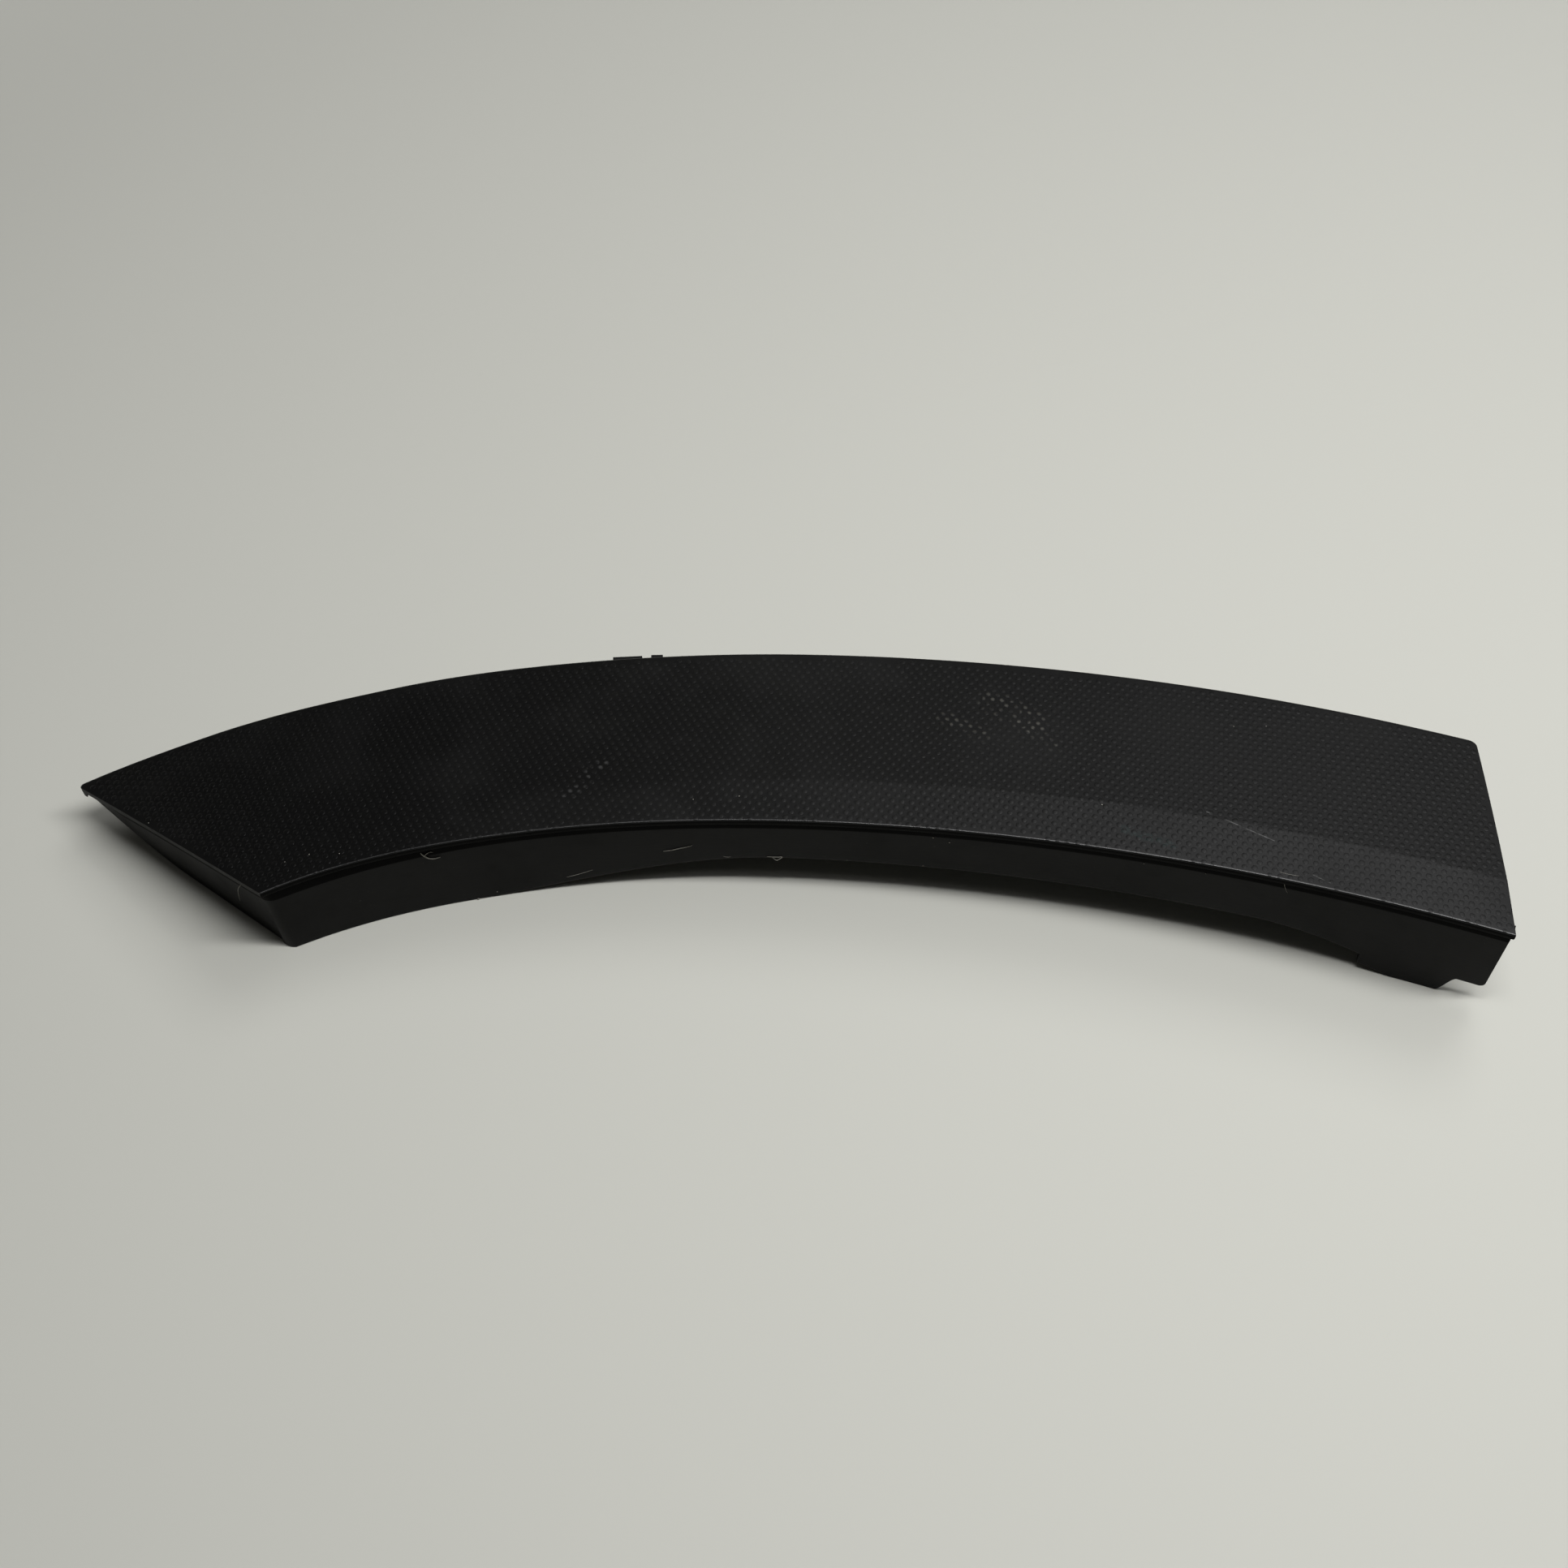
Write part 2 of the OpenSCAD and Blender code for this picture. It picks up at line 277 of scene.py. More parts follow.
@dataclass(frozen=True)
class BlackPlastic:
    """Black moulded plastic: satin, with a fine skin, haze and dust."""

    name: str
    colour: Colour = (0.0028, 0.0028, 0.0028)
    haze_colour: Colour = (0.0055, 0.0055, 0.0053)
    dust_colour: Colour = (0.09, 0.088, 0.08)
    roughness: float = 0.42
    roughness_spread: float = 0.1
    skin_size: float = 0.22 * MM
    skin_depth: float = 0.012 * MM
    streaks: float = 0.0
    streak_size: float = 1.4 * MM
    streak_stretch: Point = (0.25, 0.25, 1.6)
    haze_share: float = 0.35
    smudge_share: float = 0.25
    smudge_roughness: float = 0.06
    front_share: float = 0.3
    dust: float = 0.5
    specular: float = 0.2
    film: float = 0.0
    # Paler pip tops: partly wear and dust, partly a painted highlight where light catches them
    top_wear_and_sheen_colour: Colour = (0.012, 0.012, 0.0115)
    top_height: float = 0.0
    top_wear_and_sheen_share: float = 0.2
    top_patchy: float = 0.3
    top_sheen_fall: float = 0.75
    marks: tuple[Mark, ...] = ()

    def material(self) -> Material:
        """Builds the material.

        Returns:
            A material with its own nodes.
        """
        made, sheet = new_material(self.name)
        place = sheet.place()
        haze, smudge, speck, drift = [sheet.patches(place, kind) for kind in (HAZE, SMUDGE, SPECK, DRIFT)]
        east = sheet.wire("ShaderNodeSeparateXYZ", None, {0: place}, 0)
        film = east.soft_step(*FILM_FRONT) * east.soft_step(*FILM_REAR) * self.film
        behind = self.front_share + east.soft_step(*CLOUD_FRONT) * (1 - self.front_share)
        cloud = (haze * self.haze_share + smudge * self.smudge_share) * behind
        colour = sheet.mix(self.colour, self.haze_colour, cloud + film)
        colour = sheet.mix(colour, self.dust_colour, speck * drift * self.dust)
        top = None
        # Pip tops painted paler in patches: partly wear and dust, partly painted highlight
        if self.top_height:
            rise = sheet.wire("ShaderNodeAttribute", {"attribute_name": RISE}, None, "Fac")
            top = rise.soft_step(0.0, self.top_height)
            patchy = self.top_wear_and_sheen_share + sheet.patches(place, TOP_PATCHES) * self.top_patchy
            sheen_span = east.soft_step(*TOP_SHEEN_FRONT) * (1 - east.soft_step(*TOP_SHEEN_REAR) * self.top_sheen_fall)
            colour = sheet.mix(colour, self.top_wear_and_sheen_colour, top * patchy * sheen_span)
        for mark in self.marks:
            if mark.tops and top is None:
                continue
            broken = sheet.noise(place, mark.lump * MM).soft_step(*BROKEN)
            share = sheet.along(place, mark) * broken * mark.strength
            colour = sheet.mix(colour, mark.colour, share * top if mark.tops else share)
        rough = self.roughness + (haze - 0.5) * self.roughness_spread + smudge * self.smudge_roughness
        height = sheet.noise(place, self.skin_size, 3.0, 0.6) * self.skin_depth
        if self.streaks:
            drawn = sheet.vector("MULTIPLY", place, self.streak_stretch)
            height = height + sheet.noise(drawn, self.streak_size) * self.streaks
        bump = sheet.add("ShaderNodeBump", None, {"Strength": 1.0, "Distance": 1.0, "Height": height})
        values = {"Base Color": colour, "Roughness": rough, "Specular IOR Level": self.specular}
        sheet.close(sheet.add("ShaderNodeBsdfPrincipled", None, {**values, "Normal": bump.outputs[0]}))
        return made


@dataclass(frozen=True)
class Speck:
    """Lint, crumbs and fluff: a pale, matt stuff."""

    name: str
    colour: Colour
    shade: Colour
    lump: float = 0.6 * MM
    roughness: float = 0.8

    def material(self) -> Material:
        """Builds the material, a matt one with a little variation."""
        made, sheet = new_material(self.name)
        colour = sheet.mix(self.colour, self.shade, sheet.noise(sheet.place(), self.lump))
        values = {"Base Color": colour, "Roughness": self.roughness}
        sheet.close(sheet.add("ShaderNodeBsdfPrincipled", None, values))
        return made


class Finish(Enum):
    """Which finish a surface of the moulding has."""

    GRAINED = 0
    PLAIN = 1
    EDGE = 2
    # Dark and barely reflecting: painted shade under the lip's overhang and on the flange's top
    LIP = 3


# Meshes


class Shell:
    """Collects swept skins and makes them one mesh object."""

    def __init__(self, name: str) -> None:
        """Starts an empty mesh of that name."""
        self.name = name
        self.points: list[Array] = []
        self.faces: list[list[int]] = []
        self.finishes: list[int] = []
        self.count = 0

    def sweep(self, rings: Array, finish: Callable[[int], Finish]) -> None:
        """Adds a closed skin over rings of points.

        Args:
            rings: Points as an array of rings, points and coordinates.
            finish: Gives the finish of the strip that starts at a point of the ring.
        """
        n, m, _ = rings.shape
        start = self.count
        quads, kinds = [], []
        for i in range(n - 1):
            for j in range(m):
                k = (j + 1) % m
                a, b = start + i * m, start + (i + 1) * m
                quads.append([a + j, b + j, b + k, a + k])
                kinds.append(finish(j).value)
        caps = [[start + j for j in range(m)], [start + (n - 1) * m + j for j in reversed(range(m))]]
        flat = rings.reshape(-1, 3)
        if self._volume(flat, [[v - start for v in f] for f in quads + caps]) < 0:
            quads = [q[::-1] for q in quads]
            caps = [c[::-1] for c in caps]
        self.points.append(flat)
        self.faces += quads + caps
        self.finishes += kinds + [Finish.PLAIN.value] * 2
        self.count += len(flat)

    @staticmethod
    def _volume(points: Array, faces: Iterable[Sequence[int]]) -> float:
        """Signed volume inside the faces."""
        total = 0.0
        for f in faces:
            p = points[list(f)]
            total += float(np.sum(np.cross(p[1:-1], p[2:]) @ p[0]))
        return total / 6

    def make(self, materials: Sequence[Material], sharp: float = 32.0) -> Piece:
        """Makes the mesh object.

        Args:
            materials: One for each finish, in their order.
            sharp: Angle in degrees above which an edge is drawn sharp.

        Returns:
            The object, linked to the scene.
        """
        mesh = bpy.data.meshes.new(self.name)
        mesh.from_pydata(np.concatenate(self.points).tolist(), [], self.faces)
        mesh.polygons.foreach_set("material_index", self.finishes)
        for made in materials:
            mesh.materials.append(made)
        work = bmesh.new()
        work.from_mesh(mesh)
        bmesh.ops.triangulate(work, faces=[f for f in work.faces if len(f.verts) > 4])
        made = settle(self.name, work, mesh)
        smooth(mesh, sharp)
        return made


def link(piece: Piece) -> Piece:
    """Links an object to the scene."""
    bpy.context.scene.collection.objects.link(piece)
    return piece


def settle(name: str, work: Work, mesh: bpy.types.Mesh | None = None) -> Piece:
    """Writes worked geometry to a mesh, a new one unless one is given, and makes an object of it.

    Args:
        name: Name of the object.
        work: The geometry, which is freed.
        mesh: The mesh to write to.

    Returns:
        The object, linked to the scene.
    """
    mesh = mesh or bpy.data.meshes.new(name)
    work.to_mesh(mesh)
    work.free()
    return link(bpy.data.objects.new(name, mesh))


def baked(piece: Piece) -> bpy.types.Mesh:
    """The plain mesh that an object's curve or modifiers give."""
    return bpy.data.meshes.new_from_object(piece.evaluated_get(bpy.context.evaluated_depsgraph_get()))


def smooth(mesh: bpy.types.Mesh, sharp: float) -> None:
    """Shades a mesh smooth, apart from edges sharper than an angle in degrees."""
    mesh.polygons.foreach_set("use_smooth", [True] * len(mesh.polygons))
    mesh.set_sharp_from_angle(angle=radians(sharp))
    mesh.update()


def ease(t: Number) -> Number:
    """A soft step from 0 to 1."""
    u = np.clip(t, 0, 1)
    return u * u * (3 - 2 * u)


def way(turn: float) -> Array:
    """The direction at an angle, seen from above."""
    return np.array([cos(turn), sin(turn)])


def quarter(count: int) -> Array:
    """Angles that divide a quarter turn."""
    return np.radians(np.linspace(0, 90, count))


def curl(radius: float, turns: Array) -> Array:
    """A rounding, as pairs of distances from the two sides that it joins."""
    return radius * (1 - np.stack([np.cos(turns), np.sin(turns)], axis=1))


def inset(points: Array, depth: float) -> Array:
    """Moves the points of a closed outline inwards.

    Args:
        points: The outline, running clockwise, as an array of pairs.
        depth: How far it moves.

    Returns:
        The moved outline.
    """
    before = points - np.roll(points, 1, axis=0)
    after = np.roll(points, -1, axis=0) - points
    before /= np.linalg.norm(before, axis=1)[:, None]
    after /= np.linalg.norm(after, axis=1)[:, None]
    turn = np.stack([before[:, 1] + after[:, 1], -before[:, 0] - after[:, 0]], axis=1)
    length = np.linalg.norm(turn, axis=1)[:, None]
    return points + turn / length * depth * 2 / np.maximum(length, 1.0)


# The trim


@dataclass
class ArchLine:
    """The line of the arch edge, seen from above, with the radius easing along it."""

    length: float = 397 * MM
    front_radius: float = 184 * MM
    rear_radius: float = 803 * MM
    ease_power: float = 4.5
    front_heading: float = radians(25.9)
    step: float = 2 * MM
    start: Pair = (-160.936 * MM, -39.2085 * MM)
    points: Array = field(init=False)

    def __post_init__(self) -> None:
        """Walks the line once."""
        count = int(self.length / self.step) + 3
        turns = self.heading((np.arange(count) + 0.5) * self.step)
        steps = self.step * np.stack([np.cos(turns), np.sin(turns)], axis=1)
        self.points = np.concatenate([[self.start], self.start + np.cumsum(steps, axis=0)])

    def heading(self, s: Number) -> Array:
        """Direction of the line at a distance along it, in radians."""
        u = np.clip(np.asarray(s, float) / self.length, 0, 1)
        n = self.ease_power + 1
        front, rear = 1 / self.front_radius, 1 / self.rear_radius
        return self.front_heading - self.length * (rear * u + (front - rear) * (1 - (1 - u) ** n) / n)

    def plan(self, s: Number, w: Number) -> Array:
        """Plan point at a distance along the line and a distance from it, towards the body side."""
        s, w = np.broadcast_arrays(np.asarray(s, float), np.asarray(w, float))
        k = np.maximum(s, 0) / self.step
        i = np.minimum(k.astype(int), len(self.points) - 2)
        at = self.points[i] + (k - i)[..., None] * (self.points[i + 1] - self.points[i])
        ahead = np.minimum(s, 0)[..., None] * way(self.front_heading)
        turn = self.heading(s)
        across = np.stack([-np.sin(turn), np.cos(turn)], axis=-1)
        return at + ahead + w[..., None] * across


@dataclass
class Face:
    """The outer face: its widths, slopes and the places of its sections."""

    line: ArchLine
    front_height: float = 38.3 * MM
    rear_height: float = 45.7 * MM
    width: float = 71.1 * MM
    front_flare: float = 7.5 * MM
    front_flare_from: float = 50 * MM
    rear_flare: float = 2.5 * MM
    rear_flare_from: float = 118 * MM
    rear_flare_to: float = 357.5 * MM
    slope: float = tan(radians(8))
    front_cut: float = radians(28.5)
    rear_cut: float = radians(15.3)
    cut_fade: float = 100 * MM
    tip_droop: float = 5 * MM
    droop_from: float = 70 * MM
    band_front: float = 12.9 * MM
    band_rear: float = 18.4 * MM
    crease_angle: float = radians(4.7)
    crease_from: float = 85 * MM
    crease_fade: float = 85 * MM
    wall: float = 2.8 * MM
    edge_radius: float = 0.8 * MM
    end_radius: float = 0.35 * MM
    tip_radius: float = 1.3 * MM
    rear_radius: float = 3 * MM
    rim_height: float = 5 * MM
    rim_wall: float = 1.8 * MM
    rim_fillet: float = 0.3 * MM
    far_flat: float = 0.8 * MM
    crease_soft: float = 0.6 * MM
    crease_sharp: float = 0.15 * MM
    lip_height: float = 2.6 * MM
    lip_back: float = 1.2 * MM
    lip_flat: float = 1.0 * MM
    lip_step: float = 0.4 * MM
    flange_wall: float = 2.6 * MM
    lip_reach: float = 1.4 * MM
    lip_reach_full: float = 90 * MM
    spacing: float = 2.5 * MM
    end_sections: int = 9
    round_points: int = 8
    inset_turns: tuple[float, ...] = (0, 22, 45, 67, 90)
    across: tuple[float, ...] = (0.25, 0.5, 0.75)

    @property
    def tip_run(self) -> float:
        """How far the front tip stands ahead of the front corner."""
        return (self.width + self.front_flare) * tan(self.front_cut)

    def edge_height(self, s: Number) -> Number:
        """Height of the arch edge."""
        return self.front_height + (self.rear_height - self.front_height) * np.asarray(s) / self.line.length

    def band(self, s: Number) -> Number:
        """Width of the band between the arch edge and the crease."""
        return self.band_front + (self.band_rear - self.band_front) * np.asarray(s) / self.line.length

    def far(self, s: Number) -> Number:
        """Width of the face at a distance along the arch edge."""
        s = np.asarray(s, float)
        front = ease((self.front_flare_from - s) / (self.front_flare_from + self.tip_run))
        rear = ease((s - self.rear_flare_from) / (self.rear_flare_to - self.rear_flare_from))
        return self.width + self.front_flare * front + self.rear_flare * rear

    def height(self, s: Number, w: Number) -> Array:
        """Height of the outer face."""
        s, w = np.asarray(s, float), np.asarray(w, float)
        b = self.band(s)
        creased = self.crease_angle * ease((s - self.crease_from) / self.crease_fade)
        flat = np.tan(atan(self.slope) - creased)
        dropped = np.maximum(0, (self.droop_from - s) / (self.droop_from + self.tip_run))
        drop = np.minimum(w, b) * flat + np.maximum(0, w - b) * self.slope
        return self.edge_height(s) - drop - self.tip_droop * dropped**2 * np.maximum(w, 0) / self.width

    def lip_out(self, s: float) -> float:
        """How far the lip stands out over the arch edge."""
        return self.lip_reach * float(ease(s / self.lip_reach_full))

    def lean(self, s: Number) -> Number:
        """Lean of a section towards the end cuts, as a run for each unit of width."""
        s = np.asarray(s, float)
        front = tan(self.front_cut) * ease(1 - s / self.cut_fade)
        return front + tan(self.rear_cut) * ease(1 - (self.line.length - s) / self.cut_fade)

    def at(self, s: float, w: Array, down: Number) -> Array:
        """Points of a leaning section.

        Args:
            s: Place of the section along the arch edge.
            w: Distances from the arch edge.
            down: Depths below the outer face.

        Returns:
            The points in the part's frame.
        """
        q = s - w * self.lean(s)
        return np.concatenate([self.line.plan(q, w), (self.height(q, w) - down)[:, None]], axis=1)

    @staticmethod
    def trimmed(u: float, radius: float, angle: float) -> float:
        """How far a rounding in a plan corner trims one side, at u from the corner along the other."""
        c = radius / sin(angle)
        d = min(u, radius / tan(angle / 2)) - c
        return c - d * cos(angle) - sqrt(max(0.0, radius**2 - (d * sin(angle)) ** 2))

    def section_width(self, s: float) -> float:
        """Width of the face along a leaning section, with both plan corners rounded off."""
        front = self.trimmed(s, self.tip_radius, pi / 2 - self.front_cut)
        rear = self.trimmed(self.line.length - s, self.rear_radius, pi / 2 + self.rear_cut)
        whole = float(self.far(s - self.width * float(self.lean(s))))
        return whole - cos(self.front_cut) * front - cos(self.rear_cut) * rear

    def outline(self, s: float) -> tuple[Array, list[Finish]]:
        """Outline of a section as distances and heights, and the finish of the strip from each point on."""
        b, f, r = float(self.band(s)), self.section_width(s), self.edge_radius
        h, fillet, soft, sharp = self.rim_height, self.rim_fillet, self.crease_soft, self.crease_sharp
        back, inner, out = self.lip_back + self.flange_wall, f - self.rim_wall, self.lip_out(s)
        arc = quarter(self.round_points)
        top = [(x - out, -y) for x, y in curl(r, arc)]
        top += [(w, 0) for w in (r + soft, b - soft, b - sharp, b + sharp, b + soft)]
        top += [(b + (f - b) * k, 0) for k in self.across] + [(f - r - self.far_flat, 0)]
        top += [(f - y, -x) for x, y in curl(r, arc)]
        below = [(f, -h + fillet), (f - fillet, -h), (inner + fillet, -h), (inner, -h + fillet)]
        below += [(inner, -self.wall - fillet), (inner - 2 * fillet, -self.wall)]
        below += [(b + (f - b) * k, -self.wall) for k in reversed(self.across)]
        below += [(b, -self.wall), (back, -self.wall), (back - self.lip_step, -self.lip_height)]
        below += [(self.lip_flat, -self.lip_height)]
        n, flat = len(arc), len(below)
        below += [(y - out, x - self.lip_height) for x, y in curl(r / 2, arc[::2])]
        # The low side of the rounding and the lip's underside take the dark finish, painted shade under the
        # lip; the upper rounding takes the glossy edge
        finishes = [Finish.LIP] * 2 + [Finish.EDGE] * (n - 3) + [Finish.GRAINED] * (len(top) - n)
        finishes += [Finish.PLAIN] * flat + [Finish.LIP] * (len(below) - flat + 1)
        return np.array(top + below), finishes

    def places(self) -> list[Pair]:
        """Places of the sections and how far each is inset, rounding both ends."""
        length, n = self.line.length, self.end_sections
        near = curl(self.end_radius, np.radians(self.inset_turns)).tolist()
        front = self.tip_radius / tan((pi / 2 - self.front_cut) / 2)
        rear = self.rear_radius / tan((pi / 2 + self.rear_cut) / 2)
        first = near[-1][0]
        count = ceil((length - front - rear) / self.spacing)
        plain = [first + (front - first) * (k / n) ** 2 for k in range(1, n)]
        plain += [*np.linspace(front, length - rear, count + 1)]
        plain += [length - first - (rear - first) * (k / n) ** 2 for k in range(n - 1, 0, -1)]
        return [*near, *[(s, 0.0) for s in plain], *[(length - s, d) for s, d in reversed(near)]]

    def sweep_into(self, shell: Shell) -> None:
        """Adds the face, its lip and its rim to a shell."""
        rings = []
        finishes: list[Finish] = []
        for s, depth in self.places():
            outline, finishes = self.outline(s)
            moved = inset(outline, depth) if depth else outline
            rings.append(self.at(s, moved[:, 0], -moved[:, 1]))
        shell.sweep(np.array(rings), finishes.__getitem__)


@dataclass
class Walls:
    """The end wall, the upright corner and the return flange in one run."""

    face: Face
    draft: float = tan(radians(2))
    end_lean: float = tan(radians(2))
    corner_radius: float = 5 * MM
    end_flat: float = 45 * MM
    relief_height: float = 15.5 * MM
    relief_from: float = 62 * MM
    relief_rise: float = 105 * MM
    relief_fall: float = 38 * MM
    relief_fall_height: float = 7 * MM
    step_from_end: float = 39.5 * MM
    step_height: float = 3.5 * MM
    step_run: float = 11 * MM
    step_width: float = 0.1 * MM
    foot_from_end: float = 13.5 * MM
    foot_rise: float = 5 * MM
    notch_height: float = 9.2 * MM
    end_radius: float = 2 * MM
    edge_radius: float = 0.4 * MM
    edge_blend: float = 2.5
    seat: float = 0.6 * MM
    # The flange's top band takes the dark finish: painted shade cast by the lip
    shade_band_height: float = 8.3 * MM
    shade_band_share: float = 0.4
    spacing: float = 2.5 * MM
    end_sections: int = 40
    corner_sections: int = 12
    fall_sections: int = 20
    foot_sections: int = 12
    flat_sections: int = 5

    @property
    def step_at(self) -> float:
        """Place of the upright step along the arch edge."""
        return self.face.line.length - self.step_from_end

    @property
    def foot_at(self) -> float:
        """Place of the foot's rear side along the arch edge."""
        return self.face.line.length - self.foot_from_end

    @property
    def end_length(self) -> float:
        """Length of the end wall, up to the front tip."""
        return (self.face.width + self.face.front_flare) / cos(self.face.front_cut)

    @property
    def corner_run(self) -> float:
        """How far from the front corner the rounding of the upright corner reaches."""
        return (self.face.lip_back + self.corner_radius) / tan((pi / 2 + self.face.front_cut) / 2)

    def low(self, s: float) -> float:
        """Height of the flange's lower edge."""
        fall = self.step_at - self.relief_fall
        if s < fall:
            return float(self.relief_height * ease((s - self.relief_from) / self.relief_rise))
        if s < self.step_at:
            return self.relief_height - self.relief_fall_height * ((s - fall) / self.relief_fall) ** 2
        if s < self.foot_at:
            return self.step_height * max(0.0, 1 - (s - self.step_at) / self.step_run)
        last = max(0.0, 1 - (self.face.line.length - s) / self.end_radius)
        rounding = self.end_radius * (1 - sqrt(1 - last**2))
        return float(self.notch_height * ease((s - self.foot_at) / self.foot_rise)) + rounding

    def end_place(self, t: float) -> Place:
        """A place along the end wall: plan point, inward direction, face height, lower edge and draft."""
        face, line = self.face, self.face.line
        s, w = -t * sin(face.front_cut), t * cos(face.front_cut)
        inward = line.front_heading + face.front_cut
        top = float(face.height(s, w))
        rise = max(0.0, (t - self.end_flat) / (self.end_length - self.end_flat)) ** 2
        point = line.plan(s, w) + face.lip_back * way(inward)
        return point, inward, top, (top - face.wall) * rise, -self.end_lean

    def corner_place(self, k: float) -> Place:
        """A place round the upright corner, with k from 0 at the end wall to 1 at the flange."""
        face = self.face
        first = face.line.front_heading + face.front_cut
        turn = first + k * (pi / 2 - face.front_cut)
        centre = self.end_place(self.corner_run)[0] + self.corner_radius * way(first)
        point = centre - self.corner_radius * way(turn)
        return point, turn, face.front_height, 0.0, k * self.draft - (1 - k) * self.end_lean

    def flange_place(self, s: float) -> Place:
        """A place along the return flange."""
        face, line = self.face, self.face.line
        back = face.lip_back
        turn = float(line.heading(s)) + pi / 2
        return line.plan(s, back), turn, float(face.height(s, back)), self.low(s), self.draft

    def places(self) -> list[Place]:
        """All places along the run, from the front tip to the rear end."""
        length, fall = self.face.line.length, self.step_at - self.relief_fall
        stop = self.end_length - 2 * self.face.tip_radius
        run = [self.end_place(t) for t in np.linspace(stop, self.corner_run, self.end_sections + 1)[:-1]]
        run += [self.corner_place(k) for k in np.linspace(0, 1, self.corner_sections + 1)]
        count = int((fall - self.corner_run) / self.spacing)
        step_end, foot_end = self.step_at + self.step_run, self.foot_at + self.foot_rise
        places = [
            *np.linspace(self.corner_run, fall, count + 1)[1:-1],
            *np.linspace(fall, self.step_at - self.step_width, self.fall_sections + 1),
            *np.linspace(self.step_at, step_end, self.flat_sections + 1),
            *np.linspace(step_end, self.foot_at, self.flat_sections + 1)[1:-1],
            *np.linspace(self.foot_at, foot_end, self.foot_sections + 1),
            *np.linspace(foot_end, length - self.end_radius, 4)[1:-1],
            *(length - curl(self.end_radius, quarter(7))[:, 1]),
        ]
        return run + [self.flange_place(s) for s in places]

    def sweep_into(self, shell: Shell) -> None:
        """Adds the walls to a shell."""
        rings, r, wall, arc = [], self.edge_radius, self.face.flange_wall, quarter(4)[1:]
        for point, turn, top, low, draft in self.places():
            high, out = top - self.face.wall + self.seat, -draft * (top - low)
            deep = high - low
            # The top band, just under the lip, is painted shade
            band = min(self.shade_band_height - top + high, deep * self.shade_band_share)
            section = [(0.0, high), (out * band / deep, high - band)]
            section += [(out, low + self.edge_blend * r), (out, low + r)]
            section += [(out + x, low + y) for x, y in curl(r, arc)]
            section += [(out + wall - r, low), (out + wall, low + r), (wall, high)]
            rings.append([[*(point + u * way(turn)), z] for u, z in section])
        shell.sweep(np.array(rings), lambda j: Finish.LIP if j == 0 else Finish.PLAIN)


